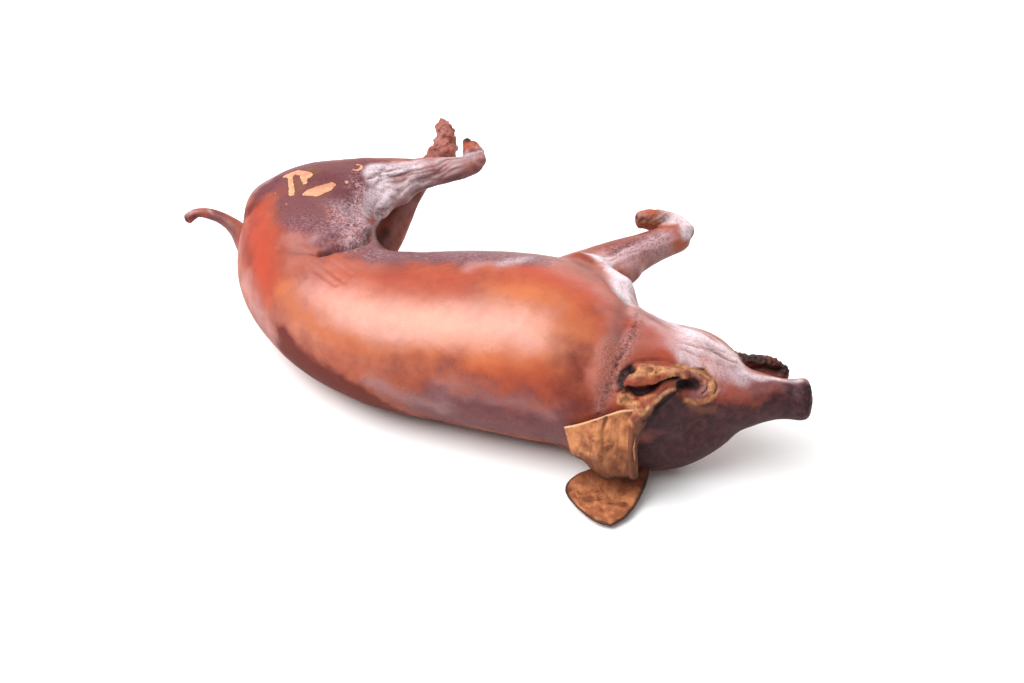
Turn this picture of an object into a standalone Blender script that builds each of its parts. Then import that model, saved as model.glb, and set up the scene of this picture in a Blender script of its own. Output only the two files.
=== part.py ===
"""A whole smoked suckling pig, lying on its right side, its back towards -Y and its snout towards +X.

It is one solid. The trunk, head, legs, tail and jaw are tubes lofted through elliptical sections, the
ears are thickened sheets, and the claws are small lofts with grains of scorched skin on them. The trunk
and legs are fused by voxels and the hollow of the groin is cut out of them. Then all of it is fused and
smoothed, the creases of the skin are pressed in, the side that it lies on is cut flat, and the whole is
thinned to ten thousand triangles.
"""

import math
import random

import bmesh
import bpy
import numpy as np
from mathutils import Vector

MM = 0.001

# Sections are centre x, y, z, then half the depth from back to belly and half the width from side to
# side, in millimetres. A smooth curve joins them.
SPINE = [
    (-208, 148, 78, 30, 38),
    (-205, 130, 76, 50, 52),
    (-195, 102, 73, 64, 62),
    (-170, 60, 69, 75, 66),
    (-130, 12, 66, 72, 66),
    (-75, -11, 66, 79, 68),
    (-10, -15, 70, 88, 73),
    (50, -21, 74, 91, 77),
    (92, -36, 74, 83, 74),
    (125, -50, 72, 70, 67),
    (160, -54, 71, 63, 60),
    (198, -50, 74, 51, 50),
    (222, -57, 76, 38, 40),
    (240, -62, 77, 27, 31),
    (258, -60, 78, 20, 24),
    (272, -57.5, 78, 16, 19.5),
    (284, -56, 78, 15.5, 18.5),
    (296, -53.5, 78, 18, 21),
]
CHEEK_RIGHT = [
    (112, -50, 38, 52, 38),
    (150, -60, 36, 50, 37),
    (184, -64, 38, 42, 35),
    (210, -66, 50, 30, 30),
    (228, -64, 62, 20, 24),
]
JAW = [
    (200, -38, 74, 30, 40),
    (222, -37, 79, 20, 28),
    (242, -33, 82, 12, 19),
    (260, -30, 85, 8.5, 14.5),
    (275, -31, 84, 5, 9),
]
TAIL = [
    (-240, 96, 58, 19, 18),
    (-256, 110, 60, 13, 12),
    (-270, 122, 65, 9, 8.5),
    (-285, 129, 70, 6.5, 6.5),
    (-300, 130, 74, 6, 6),
    (-312, 127, 75, 5, 5),
    (-319, 121, 72, 6, 6),
]
HAM_LEFT = [
    (-210, 98, 92, 56, 42),
    (-184, 120, 99, 57, 43),
    (-158, 140, 107, 44, 36),
    (-132, 154, 117, 28, 26),
    (-106, 161, 124, 19, 19),
    (-84, 164, 129, 15, 15),
    (-58, 168, 134, 11.5, 12.5),
    (-42, 174, 138, 10.5, 11),
]
HAM_RIGHT = [
    (-208, 112, 44, 56, 42),
    (-184, 128, 38, 54, 43),
    (-160, 146, 39, 42, 35),
    (-142, 170, 52, 31, 26),
    (-127, 197, 71, 21, 19),
    (-110, 219, 91, 15, 14),
    (-93, 234, 105, 13, 12),
]
FORE_LEFT = [
    (66, 26, 90, 48, 30),
    (86, 58, 96, 37, 26),
    (108, 88, 100, 24, 21),
    (130, 110, 103, 18, 17),
    (148, 126, 105, 16, 15),
    (160, 136, 107, 15.5, 15),
]
FORE_RIGHT = [
    (70, 30, 34, 46, 26),
    (82, 66, 26, 34, 24),
    (92, 98, 18, 22, 20),
    (100, 122, 13, 17, 17),
    (106, 140, 13, 16, 16),
]
FOOT_FORE_LEFT = [
    (162, 138, 109, 13, 12),
    (154, 144, 113, 11, 11),
    (143, 146, 115, 9, 11),
    (131, 145, 116, 8, 11),
    (121, 143, 116, 6, 9),
]
FOOT_FORE_RIGHT = [
    (106, 141, 13, 13, 12),
    (97, 144, 14, 11, 11),
    (85, 141, 16, 9, 11),
    (74, 135, 18, 8, 11),
    (65, 130, 19, 6, 9),
]
# The hollow of the groin is cut along this line, from the outer skin in between the two thighs.
GROIN = [
    (-88, 40, 136, 21, 21),
    (-96, 68, 118, 21, 21),
    (-105, 99, 98, 19, 19),
    (-113, 127, 80, 17, 17),
]
CLAWS_HIND_RIGHT = [
    (-91, 236, 107, 13, 13),
    (-90, 246, 114, 11, 12),
    (-94, 256, 121, 8, 9),
    (-99, 266, 129, 3.5, 4),
]
CLAW_HIND_LEFT = [
    (-50, 178, 141, 7, 7),
    (-53, 186, 146, 5.5, 5.5),
    (-56, 193, 150, 4.5, 4.5),
]
TOE_HIND_LEFT = [
    (-42, 176, 140, 9, 9),
    (-45, 184, 146, 7, 6),
    (-49, 189, 151, 4, 4),
]

# Rolled rims of the left ear: along the top of its opening, and down the front edge of the flap.
EAR_ROLL = [
    (144, -106, 101, 5, 5),
    (150, -102, 108, 8, 8),
    (162, -97, 112, 10, 9),
    (176, -93, 111, 9, 9),
    (188, -88, 110, 7, 7),
    (197, -85, 108, 4, 4),
]
EAR_NECK = [
    (163, -100, 99, 8, 17),
    (163, -110, 92, 8, 13),
    (162, -121, 84, 6, 8),
    (163, -128, 68, 4, 4.5),
    (165, -133, 52, 3.5, 4),
    (166, -137, 36, 3, 3.5),
]

# Each row of an ear runs across it, and the rows run from its root to its free edge.
EAR_THICKNESS = 4
EAR_LEFT = [
    [(161, -117, 92), (147, -121, 91), (131, -124, 84), (114, -125, 75), (99, -121, 66)],
    [(163, -127, 76), (148, -126, 74), (132, -130, 70), (116, -128, 62), (103, -123, 55)],
    [(164, -132, 60), (149, -130, 57), (133, -134, 53), (119, -129, 47), (107, -124, 42)],
    [(166, -137, 36), (152, -133, 30), (138, -133, 27), (125, -126, 30), (113, -122, 38)],
]
EAR_RIGHT = [
    [(177, -84, 38), (166, -82, 34), (154, -80, 30), (142, -80, 27)],
    [(173, -103, 20), (158, -100, 16), (142, -98, 13), (126, -99, 12)],
    [(171, -121, 11), (150, -113, 8), (130, -111, 8), (110, -114, 10)],
    [(167, -137, 8), (146, -132, 5), (125, -128, 5), (104, -128, 8)],
    [(161, -154, 6), (145, -150, 4), (128, -146, 4), (110, -143, 7)],
    [(150, -168, 5), (143, -167, 5), (136, -165, 5), (129, -161, 6)],
]

# Creases in the skin: how deep, how wide, then the places that each runs through. A negative depth is a ridge.
HAM_CREASES = [
    (1.5, 5, (-180, 6, 122), (-162, 2, 125), (-144, 3, 126)),
    (3.5, 4, (-146, 3, 126), (-134, 9, 127), (-124, 19, 127), (-117, 36, 125), (-113, 56, 121)),
    (-2.5, 9, (-150, 22, 130), (-136, 34, 130), (-128, 52, 128)),
]
RUMP_CREASES = [
    (4.5, 6, (-246, 137, 69), (-237, 153, 68), (-222, 164, 67), (-205, 169, 66), (-192, 168, 66)),
]
HOCK_CREASES = [
    (1.6, 2.6, (-131, 119, 129), (-122, 122, 121), (-116, 128, 111)),
    (1.6, 2.6, (-131, 129, 134), (-120, 129, 127), (-112, 135, 119)),
    (1.6, 2.6, (-128, 138, 138), (-116, 137, 132), (-106, 141, 124)),
    (1.6, 2.6, (-121, 148, 140), (-108, 146, 135), (-95, 147, 131)),
]
NECK_CREASES = [
    (2.2, 6, (135, -17, 132), (137, -61, 136), (138, -88, 126), (136, -112, 99)),
    (-1, 6, (125, -40, 138), (126, -80, 131), (124, -110, 104)),
]
EAR_CREASES = [
    (10, 4.5, (146, -111, 103), (161, -108, 106), (173, -103, 108), (187, -94, 111)),
    (2.5, 3, (151, -113, 98), (157, -119, 90), (161, -124, 80)),
    (2.5, 3, (172, -107, 101), (166, -115, 92), (162, -124, 80)),
    (1.2, 3, (134, -130, 76), (136, -135, 58), (136, -136, 37)),
    (1.2, 3, (152, -125, 85), (156, -132, 65), (158, -136, 41)),
]
FACE_CREASES = [
    (8, 7, (199, -88, 106)),
    (-2, 4, (190, -80, 114), (203, -80, 109), (212, -88, 100), (208, -97, 92)),
    (5, 5, (240, -42, 92), (255, -39, 92), (270, -36, 90)),
    (6, 4, (303, -51, 87)),
    (6, 4, (303, -53, 69)),
    (1.5, 3, (287, -75, 78), (285, -68, 92), (284, -55, 99)),
]
CREASES = HAM_CREASES + RUMP_CREASES + HOCK_CREASES + NECK_CREASES + EAR_CREASES + FACE_CREASES

MASS_VOXEL = 5
SKIN_VOXEL = 2
TRIANGLES = 10000
SKIN_COLOUR = (0.32, 0.09, 0.035, 1)
DOME_RINGS = 5


def catmull_rom(p0, p1, p2, p3, t):
    """The point at share t between p1 and p2 on a smooth curve through all four."""
    a = 2 * p1
    b = p2 - p0
    c = 2 * p0 - 5 * p1 + 4 * p2 - p3
    d = 3 * p1 - p0 - 3 * p2 + p3
    return (a + t * (b + t * (c + t * d))) / 2


def smooth_rows(rows, steps):
    """Rows of numbers on a smooth curve through those given, with this many steps from each to the next."""
    rows = [np.array(row, float) for row in rows]
    ends = [2 * rows[0] - rows[1], *rows, 2 * rows[-1] - rows[-2]]
    made = []
    for four in zip(ends, ends[1:], ends[2:], ends[3:]):
        made += [catmull_rom(*four, step / steps) for step in range(steps)]
    return [*made, rows[-1]]


def linked(name, bm):
    """A new object of this mesh, in the scene."""
    bmesh.ops.recalc_face_normals(bm, faces=bm.faces)
    mesh = bpy.data.meshes.new(name)
    bm.to_mesh(mesh)
    bm.free()
    obj = bpy.data.objects.new(name, mesh)
    bpy.context.scene.collection.objects.link(obj)
    return obj


def dome(ring, outward, length):
    """Smaller and smaller rings that round off the end of a tube."""
    centre, along, side, depth, width = ring
    caps = []
    for k in range(1, DOME_RINGS + 1):
        turn = math.pi / 2 * k / (DOME_RINGS + 0.5)
        reach = outward * depth * length * math.sin(turn)
        caps.append((centre + along * reach, along, side, depth * math.cos(turn), width * math.cos(turn)))
    return caps


def loft(name, sections, sides=40, side_axis=(0, 0, 1), tip=0.7):
    """A closed tube through elliptical sections, whose width lies along side_axis.

    Domes close it, that at its far end as long as tip says, in shares of the last section's half depth.
    """
    rows = smooth_rows(sections, 8)
    centres = [Vector(row[:3]) for row in rows]
    last = len(rows) - 1
    rings = []
    for i, row in enumerate(rows):
        along = (centres[min(i + 1, last)] - centres[max(i - 1, 0)]).normalized()
        side = Vector(side_axis)
        side = (side - along * side.dot(along)).normalized()
        rings.append((centres[i], along, side, row[3], row[4]))
    rings = [*reversed(dome(rings[0], -1, 0.7)), *rings, *dome(rings[-1], 1, tip)]
    bm = bmesh.new()
    loops = []
    for centre, along, side, depth, width in rings:
        down = along.cross(side)
        turns = [2 * math.pi * s / sides for s in range(sides)]
        places = [centre + side * width * math.cos(t) + down * depth * math.sin(t) for t in turns]
        loops.append([bm.verts.new(place * MM) for place in places])
    for one, two in zip(loops, loops[1:]):
        for s in range(sides):
            after = (s + 1) % sides
            bm.faces.new((one[s], one[after], two[after], two[s]))
    bm.faces.new(list(reversed(loops[0])))
    bm.faces.new(loops[-1])
    return linked(name, bm)


def sheet(name, net, thickness):
    """A curved sheet of even thickness through a net of points."""
    across = [smooth_rows(row, 6) for row in net]
    grid = [smooth_rows(column, 6) for column in zip(*across)]
    bm = bmesh.new()
    verts = [[bm.verts.new(Vector(point) * MM) for point in column] for column in grid]
    for one, two in zip(verts, verts[1:]):
        for a, b, c, d in zip(one, one[1:], two[1:], two):
            bm.faces.new((a, b, c, d))
    obj = linked(name, bm)
    applied(obj, "SOLIDIFY", thickness=thickness * MM, offset=0)
    return obj


def grains(name, sections, count, radii, seed):
    """Small balls sunk in the surface of a tube: scorched skin that has blistered and crumbled."""
    draw = random.Random(seed)
    rows = smooth_rows(sections, 8)
    bm = bmesh.new()
    for _ in range(count):
        i = draw.randrange(len(rows) - 1)
        centre = Vector(rows[i][:3])
        along = (Vector(rows[i + 1][:3]) - centre).normalized()
        side = (Vector((0, 0, 1)) - along * along.z).normalized()
        turn = draw.uniform(0, 2 * math.pi)
        place = centre + side * rows[i][4] * math.cos(turn) + along.cross(side) * rows[i][3] * math.sin(turn)
        made = bmesh.ops.create_icosphere(bm, subdivisions=2, radius=draw.uniform(*radii) * MM)
        bmesh.ops.translate(bm, verts=made["verts"], vec=place * MM)
    return linked(name, bm)


def applied(obj, kind, **settings):
    """Adds a modifier with these settings and applies it."""
    modifier = obj.modifiers.new(kind.lower(), kind)
    for key, value in settings.items():
        setattr(modifier, key, value)
    bpy.ops.object.select_all(action="DESELECT")
    obj.select_set(True)
    bpy.context.view_layer.objects.active = obj
    bpy.ops.object.modifier_apply(modifier=modifier.name)


def fused(name, objs, voxel, smoothing):
    """One closed body out of many that overlap, its joins rounded by the smoothing."""
    bpy.ops.object.select_all(action="DESELECT")
    for obj in objs:
        obj.select_set(True)
    bpy.context.view_layer.objects.active = objs[0]
    bpy.ops.object.join()
    body = objs[0]
    body.name = name
    applied(body, "REMESH", mode="VOXEL", voxel_size=voxel * MM)
    applied(body, "SMOOTH", factor=0.5, iterations=smoothing)
    return body


def distances(places, path):
    """How far each place is from a line of straight stretches."""
    nearest = np.full(len(places), np.inf)
    for a, b in zip(path, path[1:]):
        run = b - a
        share = np.clip((places - a) @ run / max(run @ run, 1e-9), 0, 1)
        nearest = np.minimum(nearest, np.linalg.norm(places - a - share[:, None] * run, axis=1))
    return nearest


def pressed(obj, creases):
    """Presses each crease into the skin, as deep and as wide as it says. A negative depth raises a ridge."""
    mesh = obj.data
    places = np.empty(len(mesh.vertices) * 3)
    mesh.vertices.foreach_get("co", places)
    normals = np.empty(len(mesh.vertices) * 3)
    mesh.vertices.foreach_get("normal", normals)
    places = places.reshape(-1, 3) / MM
    normals = normals.reshape(-1, 3)
    sunk = np.zeros(len(places))
    for depth, width, *path in creases:
        route = np.array(smooth_rows(path, 6)) if len(path) > 1 else np.array([path[0], path[0]], float)
        sunk += depth * np.exp(-((distances(places, route) / width) ** 2))
    places -= normals * sunk[:, None]
    mesh.vertices.foreach_set("co", (places * MM).ravel())
    mesh.update()


def settled(obj):
    """Cuts the body flat where it lies, and sets the origin at the middle of its box's underside."""
    mesh = obj.data
    places = np.empty(len(mesh.vertices) * 3)
    mesh.vertices.foreach_get("co", places)
    places = places.reshape(-1, 3)
    places[:, 2] = np.maximum(places[:, 2], 0)
    middle = (places.min(axis=0) + places.max(axis=0)) / 2
    places -= (middle[0], middle[1], 0)
    mesh.vertices.foreach_set("co", places.ravel())
    mesh.update()


def smoked_skin():
    """Glossy red-brown skin."""
    material = bpy.data.materials.new("smoked_skin")
    material.use_nodes = True
    shader = material.node_tree.nodes["Principled BSDF"]
    shader.inputs["Base Color"].default_value = SKIN_COLOUR
    shader.inputs["Roughness"].default_value = 0.35
    shader.inputs["Metallic"].default_value = 0
    return material


for old in list(bpy.data.objects):
    bpy.data.objects.remove(old)

masses = [
    loft("spine", SPINE, tip=0.35),
    loft("ham_left", HAM_LEFT),
    loft("ham_right", HAM_RIGHT),
    loft("fore_left", FORE_LEFT),
    loft("fore_right", FORE_RIGHT),
    loft("cheek_right", CHEEK_RIGHT),
]
carcass = fused("carcass", masses, MASS_VOXEL, 8)
groin = loft("groin", GROIN)
applied(carcass, "BOOLEAN", operation="DIFFERENCE", object=groin)
bpy.data.objects.remove(groin)
details = [
    loft("jaw", JAW),
    loft("tail", TAIL, sides=20),
    loft("foot_fore_left", FOOT_FORE_LEFT, sides=24),
    loft("foot_fore_right", FOOT_FORE_RIGHT, sides=24),
    loft("claws_hind_right", CLAWS_HIND_RIGHT, sides=24),
    grains("grains_hind_right", CLAWS_HIND_RIGHT, 26, (2.5, 4.5), seed=3),
    loft("claw_hind_left", CLAW_HIND_LEFT, sides=16),
    loft("toe_hind_left", TOE_HIND_LEFT, sides=16),
    loft("ear_roll", EAR_ROLL, sides=24, side_axis=(0, -0.7, 0.7)),
    loft("ear_neck", EAR_NECK, sides=24, side_axis=(1, 0, 0)),
    sheet("ear_left", EAR_LEFT, EAR_THICKNESS),
    sheet("ear_right", EAR_RIGHT, EAR_THICKNESS),
]
pig = fused("suckling_pig", [carcass, *details], SKIN_VOXEL, 3)
pressed(pig, CREASES)
applied(pig, "DECIMATE", ratio=TRIANGLES / (2 * len(pig.data.polygons)), use_collapse_triangulate=True)
settled(pig)
pig.data.materials.append(smoked_skin())
pig.data.shade_smooth()
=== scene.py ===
"""The looks of a whole smoked suckling pig, lying on its right side on a white table.

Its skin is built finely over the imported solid, from the same sections, then creased, wrinkled and
coloured region by region. Places along the pig are in millimetres: +X towards the snout, -Y towards
the back, +Z up, from a point on the table below the middle of the back.
"""

import math
import random

import bmesh
import bpy
import numpy as np
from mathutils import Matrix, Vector, noise


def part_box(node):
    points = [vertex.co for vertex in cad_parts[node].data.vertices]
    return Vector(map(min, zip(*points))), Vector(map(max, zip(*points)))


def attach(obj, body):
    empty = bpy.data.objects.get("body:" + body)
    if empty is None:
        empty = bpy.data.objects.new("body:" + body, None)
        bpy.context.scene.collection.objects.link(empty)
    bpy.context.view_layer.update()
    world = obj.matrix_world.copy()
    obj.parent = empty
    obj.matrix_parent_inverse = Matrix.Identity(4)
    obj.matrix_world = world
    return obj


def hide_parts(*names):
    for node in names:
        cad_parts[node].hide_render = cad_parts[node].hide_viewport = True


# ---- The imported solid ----
# One body carries the whole pig. The sections below are measured from a point on the table that lies
# a little ahead of the middle of the solid's box, and towards the back.
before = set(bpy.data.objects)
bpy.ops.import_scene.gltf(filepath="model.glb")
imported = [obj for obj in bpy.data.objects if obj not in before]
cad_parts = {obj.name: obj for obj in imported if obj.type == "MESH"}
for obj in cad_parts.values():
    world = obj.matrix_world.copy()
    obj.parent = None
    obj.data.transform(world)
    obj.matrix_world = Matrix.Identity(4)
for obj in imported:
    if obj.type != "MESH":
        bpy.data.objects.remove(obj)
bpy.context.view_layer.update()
MM = 0.001
low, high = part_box("suckling_pig")
BELOW_BACK = Vector(((low.x + high.x) / 2 + 0.0111, (low.y + high.y) / 2 - 0.0514, low.z))


# ---- The camera ----
# A long lens that looks down on the pig's back from a little ahead of its side, from nearly two metres
# away. Its small shift sets the pig a little left of the middle of the view.
AZIMUTH = math.radians(12.6)
ELEVATION = math.radians(35)
away = Vector(
    (
        math.sin(AZIMUTH) * math.cos(ELEVATION),
        -math.cos(AZIMUTH) * math.cos(ELEVATION),
        math.sin(ELEVATION),
    )
)
camera = bpy.data.objects.new("camera", bpy.data.cameras.new("camera"))
camera.data.lens = 70
camera.data.sensor_width = 36
camera.data.shift_x = 0.03125
camera.data.shift_y = -0.0034
aimed_at = BELOW_BACK + Vector((0, 0, 0.06))
camera.location = aimed_at + away * 1.8
camera.rotation_euler = away.to_track_quat("Z", "Y").to_euler()
bpy.context.scene.collection.objects.link(camera)
bpy.context.scene.camera = camera


# ---- The table and the light ----
# A white sweep of paper under a large soft box overhead, a narrower one behind the pig that catches
# the wet edges of its skin, and a white room all round.
class Wire:
    """A socket that gives a number; sums with it add Math nodes."""

    def __init__(self, finish, socket):
        self.finish = finish
        self.socket = socket

    def math(self, operation, *values):
        sockets = dict(enumerate(values))
        return self.finish.node("Math", {"operation": operation}, sockets)

    def __add__(self, other):
        return self.math("ADD", self, other)

    def __radd__(self, other):
        return self.math("ADD", other, self)

    def __sub__(self, other):
        return self.math("SUBTRACT", self, other)

    def __rsub__(self, other):
        return self.math("SUBTRACT", other, self)

    def __mul__(self, other):
        return self.math("MULTIPLY", self, other)

    def __rmul__(self, other):
        return self.math("MULTIPLY", other, self)

    def __abs__(self):
        return self.math("ABSOLUTE", self)

    def between(self, start, end):
        """0 below start and 1 above end, with a soft step from one to the other."""
        settings = {"interpolation_type": "SMOOTHSTEP"}
        return self.finish.node("MapRange", settings, {"Value": self, "From Min": start, "From Max": end})


class Finish:
    """The node tree of a material, or of the world, while it is put together."""

    def __init__(self, owner):
        self.owner = owner
        owner.use_nodes = True
        self.tree = owner.node_tree
        self.tree.nodes.clear()

    def node(self, kind, settings=None, sockets=None, output=0):
        """Adds a node: its settings first, then the values or wires of its sockets."""
        made = self.tree.nodes.new("ShaderNode" + kind)
        for key, value in (settings or {}).items():
            setattr(made, key, value)
        for key, value in (sockets or {}).items():
            if isinstance(value, Wire):
                self.tree.links.new(value.socket, made.inputs[key])
            else:
                made.inputs[key].default_value = value
        return Wire(self, made.outputs[output]) if made.outputs else None

    def mixed(self, share, under, over):
        """One colour over another, as thickly as share says. A Mix node takes colours in sockets 6 and 7."""
        colours = [value if isinstance(value, Wire) else (*value, 1) for value in (under, over)]
        return self.node("Mix", {"data_type": "RGBA"}, {0: share, 6: colours[0], 7: colours[1]}, output=2)

    def ended(self, shader, output, **sockets):
        """Ends the tree in this shader, and gives the material or the world that it belongs to."""
        sockets = {key.replace("_", " "): value for key, value in sockets.items()}
        self.node(output, {}, {"Surface": self.node(shader, {}, sockets)})
        return self.owner


def material(name, build, **sockets):
    """A material whose Principled shader has these sockets, and those that build wires up."""
    finish = Finish(bpy.data.materials.new(name))
    if build:
        sockets = {**sockets, **build(finish)}
    return finish.ended("BsdfPrincipled", "OutputMaterial", **sockets)


paper = material("paper", None, Base_Color=(0.8, 0.8, 0.8, 1), Roughness=0.9, Specular_IOR_Level=0.1)
bm = bmesh.new()
bmesh.ops.create_grid(bm, x_segments=1, y_segments=1, size=6)
floor_mesh = bpy.data.meshes.new("table")
bm.to_mesh(floor_mesh)
bm.free()
floor_mesh.materials.append(paper)
table = bpy.data.objects.new("table", floor_mesh)
table.location.z = low.z
bpy.context.scene.collection.objects.link(table)

room = Finish(bpy.data.worlds.new("white_room"))
direction = room.node("TexCoord")
BRIGHT_SIDE = (0, 0.6, 0.8)
upward = room.node("VectorMath", {"operation": "DOT_PRODUCT"}, {0: direction, 1: BRIGHT_SIDE}, "Value")
glow = 0.3 + 0.75 * upward.between(-0.35, 0.9)
bpy.context.scene.world = room.ended("Background", "OutputWorld", Color=(1, 1, 1, 1), Strength=glow)


def softbox(name, place, aim, size, power):
    """An area light of this width and depth in metres, turned towards a point."""
    light = bpy.data.lights.new(name, "AREA")
    light.shape = "RECTANGLE"
    light.size, light.size_y = size
    light.energy = power
    lamp = bpy.data.objects.new(name, light)
    lamp.location = BELOW_BACK + Vector(place)
    lamp.rotation_euler = (Vector(place) - Vector(aim)).to_track_quat("Z", "Y").to_euler()
    bpy.context.scene.collection.objects.link(lamp)


softbox("overhead", (-2.4, -1.4, 2.9), (-2.43, -1.3, 0), (4.2, 3.7), 345)
softbox("behind", (0.6, 2.3, 0.95), (0, 0, 0.1), (2.0, 0.9), 24)
bpy.context.scene.view_settings.view_transform = "Standard"


# ---- The carcass: trunk, head, hams and forelegs ----
# Skin roasted tight over muscle, so its forms run into each other. Each mass is a tube through
# elliptical sections, and a coarse remesh melts them into one body before the small parts join it.
# Sections are centre x, y, z, then half the depth from back to belly and half the width.
SPINE = [
    (-208, 148, 78, 30, 38),
    (-205, 130, 76, 50, 52),
    (-195, 102, 73, 64, 62),
    (-170, 60, 69, 75, 66),
    (-130, 12, 66, 72, 66),
    (-75, -11, 66, 79, 68),
    (-10, -15, 70, 88, 73),
    (50, -21, 74, 91, 77),
    (92, -36, 74, 83, 74),
    (125, -50, 72, 70, 67),
    (160, -54, 71, 63, 60),
    (198, -50, 74, 51, 50),
    (222, -57, 76, 38, 40),
    (240, -62, 77, 27, 31),
    (258, -60, 78, 20, 24),
    (272, -57.5, 78, 16, 19.5),
    (284, -56, 78, 15.5, 18.5),
    (296, -53.5, 78, 18, 21),
]
CHEEK_RIGHT = [
    (112, -50, 38, 52, 38),
    (150, -60, 36, 50, 37),
    (184, -64, 38, 42, 35),
    (210, -66, 50, 30, 30),
    (228, -64, 62, 20, 24),
]
HAM_LEFT = [
    (-210, 98, 92, 56, 42),
    (-184, 120, 99, 57, 43),
    (-158, 140, 107, 44, 36),
    (-132, 154, 117, 28, 26),
    (-106, 161, 124, 19, 19),
    (-84, 164, 129, 15, 15),
    (-58, 168, 134, 11.5, 12.5),
    (-42, 174, 138, 10.5, 11),
]
HAM_RIGHT = [
    (-208, 112, 44, 56, 42),
    (-184, 128, 38, 54, 43),
    (-160, 146, 39, 42, 35),
    (-142, 170, 52, 31, 26),
    (-127, 197, 71, 21, 19),
    (-110, 219, 91, 15, 14),
    (-93, 234, 105, 13, 12),
]
FORE_LEFT = [
    (66, 26, 90, 48, 30),
    (86, 58, 96, 37, 26),
    (108, 88, 100, 24, 21),
    (130, 110, 103, 18, 17),
    (148, 126, 105, 16, 15),
    (160, 136, 107, 15.5, 15),
]
FORE_RIGHT = [
    (70, 30, 34, 46, 26),
    (82, 66, 26, 34, 24),
    (92, 98, 18, 22, 20),
    (100, 122, 13, 17, 17),
    (106, 140, 13, 16, 16),
]
# The hollow of the groin is cut along this line, from the outer skin in between the two thighs.
GROIN = [
    (-88, 40, 136, 21, 21),
    (-96, 68, 118, 21, 21),
    (-105, 99, 98, 19, 19),
    (-113, 127, 80, 17, 17),
]


def catmull_rom(p0, p1, p2, p3, t):
    """The point at share t between p1 and p2 on a smooth curve through all four."""
    a = 2 * p1
    b = p2 - p0
    c = 2 * p0 - 5 * p1 + 4 * p2 - p3
    d = 3 * p1 - p0 - 3 * p2 + p3
    return (a + t * (b + t * (c + t * d))) / 2


def smooth_rows(rows, steps):
    """Rows of numbers on a smooth curve through those given, with this many steps from each to the next."""
    rows = [np.array(row, float) for row in rows]
    ends = [2 * rows[0] - rows[1], *rows, 2 * rows[-1] - rows[-2]]
    made = []
    for four in zip(ends, ends[1:], ends[2:], ends[3:]):
        made += [catmull_rom(*four, step / steps) for step in range(steps)]
    return [*made, rows[-1]]


def linked(name, bm):
    """A new object of this mesh, in the scene."""
    bmesh.ops.recalc_face_normals(bm, faces=bm.faces)
    mesh = bpy.data.meshes.new(name)
    bm.to_mesh(mesh)
    bm.free()
    obj = bpy.data.objects.new(name, mesh)
    bpy.context.scene.collection.objects.link(obj)
    return obj


SECTION_STEPS = 10
DOME_RINGS = 7


def dome(ring, outward, length):
    """Smaller and smaller rings that round off the end of a tube."""
    centre, along, side, depth, width = ring
    caps = []
    for k in range(1, DOME_RINGS + 1):
        turn = math.pi / 2 * k / (DOME_RINGS + 0.5)
        reach = outward * depth * length * math.sin(turn)
        caps.append((centre + along * reach, along, side, depth * math.cos(turn), width * math.cos(turn)))
    return caps


def loft(name, sections, sides=64, side_axis=(0, 0, 1), tip=0.7):
    """A closed tube through elliptical sections, whose width lies along side_axis."""
    rows = smooth_rows(sections, SECTION_STEPS)
    centres = [Vector(row[:3]) for row in rows]
    last = len(rows) - 1
    rings = []
    for i, row in enumerate(rows):
        along = (centres[min(i + 1, last)] - centres[max(i - 1, 0)]).normalized()
        side = Vector(side_axis)
        side = (side - along * side.dot(along)).normalized()
        rings.append((centres[i], along, side, row[3], row[4]))
    rings = [*reversed(dome(rings[0], -1, 0.7)), *rings, *dome(rings[-1], 1, tip)]
    bm = bmesh.new()
    loops = []
    for centre, along, side, depth, width in rings:
        down = along.cross(side)
        turns = [2 * math.pi * s / sides for s in range(sides)]
        places = [centre + side * width * math.cos(t) + down * depth * math.sin(t) for t in turns]
        loops.append([bm.verts.new(place * MM) for place in places])
    for one, two in zip(loops, loops[1:]):
        for s in range(sides):
            after = (s + 1) % sides
            bm.faces.new((one[s], one[after], two[after], two[s]))
    bm.faces.new(list(reversed(loops[0])))
    bm.faces.new(loops[-1])
    return linked(name, bm)


def applied(obj, kind, **settings):
    """Adds a modifier with these settings and applies it."""
    modifier = obj.modifiers.new(kind.lower(), kind)
    for key, value in settings.items():
        setattr(modifier, key, value)
    bpy.ops.object.select_all(action="DESELECT")
    obj.select_set(True)
    bpy.context.view_layer.objects.active = obj
    bpy.ops.object.modifier_apply(modifier=modifier.name)


def fused(name, objs, voxel, smoothing):
    """One closed body out of many that overlap, its joins rounded by the smoothing."""
    bpy.ops.object.select_all(action="DESELECT")
    for obj in objs:
        obj.select_set(True)
    bpy.context.view_layer.objects.active = objs[0]
    bpy.ops.object.join()
    body = objs[0]
    body.name = name
    applied(body, "REMESH", mode="VOXEL", voxel_size=voxel * MM)
    applied(body, "SMOOTH", factor=0.5, iterations=smoothing)
    return body


CARCASS_VOXEL = 5
CARCASS_SMOOTHING = 8
masses = [
    loft("spine", SPINE, tip=0.35),
    loft("ham_left", HAM_LEFT),
    loft("ham_right", HAM_RIGHT),
    loft("fore_left", FORE_LEFT),
    loft("fore_right", FORE_RIGHT),
    loft("cheek_right", CHEEK_RIGHT),
]
carcass = fused("carcass", masses, CARCASS_VOXEL, CARCASS_SMOOTHING)
groin = loft("groin", GROIN)
applied(carcass, "BOOLEAN", operation="DIFFERENCE", object=groin)
bpy.data.objects.remove(groin)
applied(carcass, "SUBSURF", levels=2, render_levels=2)


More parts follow.
